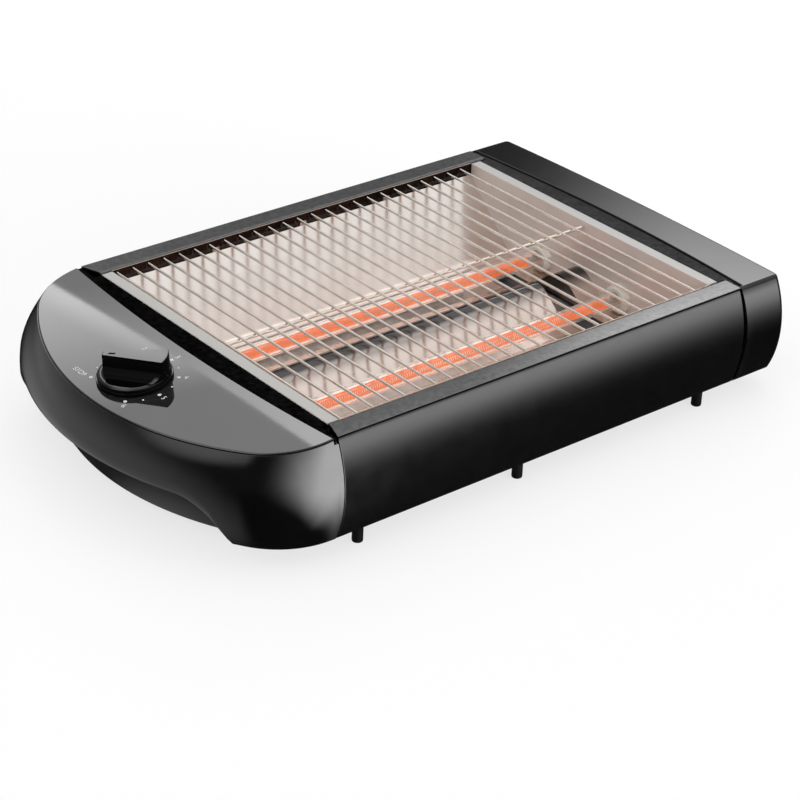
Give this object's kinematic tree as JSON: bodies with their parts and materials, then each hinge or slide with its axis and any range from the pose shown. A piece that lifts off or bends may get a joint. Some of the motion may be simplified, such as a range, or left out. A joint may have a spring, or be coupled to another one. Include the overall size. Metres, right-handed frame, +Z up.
{
  "type": "flat toaster",
  "caption": "Low flat toaster for bread rolls: open wire grill over a polished trough with glowing quartz tubes, black casing, timer knob on a rounded sloping end, pull-out crumb tray.",
  "frame": {"origin": "on the table under the middle of the bounding box", "axes": "+X along the toaster from the control end to the plain end cap, +Y to the left seen from the control end, +Z up"},
  "size_m": [0.3984, 0.248, 0.0785],
  "materials": {
    "gloss_black": "polished",
    "black_enamel": "gloss",
    "matt_black": "satin",
    "panel_black": "gloss",
    "ledge_grey": "satin",
    "polished_sheet": "polished",
    "bright_steel": "bright drawn",
    "plain_steel": "plain",
    "quartz": "clear",
    "coil": "glowing",
    "ceramic": "unglazed",
    "brass": "plain",
    "timer_case": "moulded",
    "black_base": "satin",
    "rubber": "matt",
    "lead_brown": "sleeved",
    "lead_black": "sleeved",
    "lead_blue": "sleeved",
    "lead_white": "woven sleeve",
    "lead_earth": "sleeved"
  },
  "bodies": {
    "casing": {"front_housing": "gloss_black", "control_panel": "panel_black", "front_trim_strip": "matt_black", "rear_trim_strip": "matt_black", "end_cap": "gloss_black", "side_panel_right": "black_enamel", "side_panel_left": "black_enamel", "side_rail_right": "ledge_grey", "side_rail_left": "ledge_grey", "wire_comb_right": "polished_sheet", "wire_comb_left": "polished_sheet", "rail_clips": "plain_steel", "grill_wires": "bright_steel", "support_wire": "bright_steel", "reflector": "polished_sheet", "front_end_plate": "polished_sheet", "rear_end_plate": "polished_sheet", "heating_tube_right": "quartz", "heating_tube_left": "quartz", "heating_coil_right": "coil", "heating_coil_left": "coil", "tube_holders_front": "ceramic", "tube_holders_rear": "ceramic", "contact_pins": "plain_steel", "base_plate": "black_base", "feet": "rubber", "foot_screws": "plain_steel", "housing_screws": "plain_steel", "plate_screws": "plain_steel", "tray_guide_right": "plain_steel", "tray_guide_left": "plain_steel", "timer_body": "timer_case", "timer_bell": "plain_steel", "bell_screw": "plain_steel", "timer_tabs": "brass", "timer_screws": "plain_steel", "terminal_block": "ceramic", "terminal_screws": "brass", "cord_bush": "rubber", "thermal_fuse": "plain_steel", "fuse_clip": "plain_steel", "earth_screw": "brass", "live_lead": "lead_brown", "switched_leads": "lead_black", "neutral_lead": "lead_blue", "fuse_leads": "lead_white", "earth_lead": "lead_earth"},
    "knob": {"timer_knob": "gloss_black", "timer_shaft": "plain_steel"},
    "crumb_tray": {"crumb_pan": "plain_steel", "crumb_tray_front": "gloss_black", "tray_screws": "plain_steel"}
  },
  "joints": [
    {"name": "timer_turn", "type": "hinge", "parent": "casing", "child": "knob", "pos_m": [-0.16028, 0, 0.0629], "axis": [0.1219, 0, -0.9925], "range_deg": [0, 267]},
    {"name": "tray_slide", "type": "slide", "parent": "casing", "child": "crumb_tray", "axis": [-1, 0, 0], "range_m": [0, 0.2]}
  ]
}
